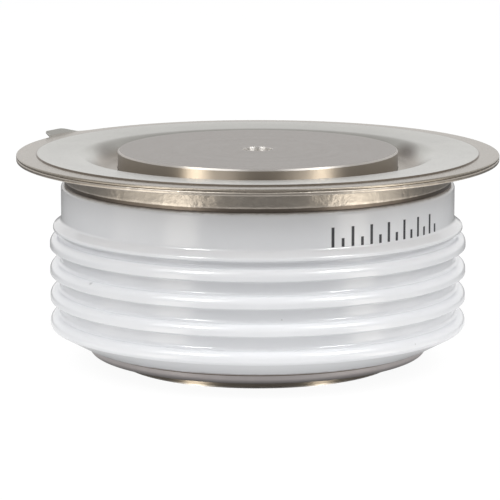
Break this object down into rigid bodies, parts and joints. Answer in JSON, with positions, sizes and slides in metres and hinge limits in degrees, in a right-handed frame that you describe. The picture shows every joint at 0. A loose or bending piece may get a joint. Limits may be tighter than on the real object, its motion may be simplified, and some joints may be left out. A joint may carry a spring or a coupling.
{
  "type": "disc thyristor",
  "caption": "Disc (capsule) thyristor: ribbed glazed ceramic ring between two nickel-plated copper pole faces, with a welded metal flange, a gate tube and a cathode tab.",
  "frame": {"origin": "centre of the anode face, which the part stands on", "axes": "+Z along the disc's axis, from the anode face to the cathode face; the picture was taken from -Y"},
  "size_m": [0.0584, 0.0584, 0.0262],
  "materials": {
    "glazed_alumina": "white gloss glaze",
    "nickel_plate": "satin nickel plate on copper",
    "nickel_sheet": "bright nickel-plated sheet",
    "warm_nickel_sheet": "nickel-plated sheet, slightly warm",
    "silver": "soft fine silver",
    "molybdenum": "lapped molybdenum",
    "silicon": "metallised silicon",
    "silicone_rubber": "cast silicone rubber",
    "fluoropolymer": "turned white fluoropolymer",
    "spring_steel": "stainless spring wire"
  },
  "bodies": {
    "root": {"ceramic_housing": "glazed_alumina", "upper_weld_ring": "warm_nickel_sheet", "cathode_diaphragm": "nickel_sheet", "cathode_pole": "nickel_plate", "lower_seal_ring": "warm_nickel_sheet", "anode_pole": "nickel_plate", "anode_silver_foil": "silver", "anode_molybdenum_disc": "molybdenum", "silicon_wafer": "silicon", "wafer_edge_seal": "silicone_rubber", "cathode_silver_foil": "silver", "cathode_molybdenum_disc": "molybdenum", "wafer_locating_ring": "fluoropolymer", "gate_contact": "silver", "gate_spring": "spring_steel", "gate_insulator_cup": "fluoropolymer", "gate_insulating_washer": "fluoropolymer", "gate_lead": "silver", "gate_lead_sleeve": "fluoropolymer", "gate_tube": "nickel_sheet", "gate_eyelet": "warm_nickel_sheet"}
  },
  "joints": []
}
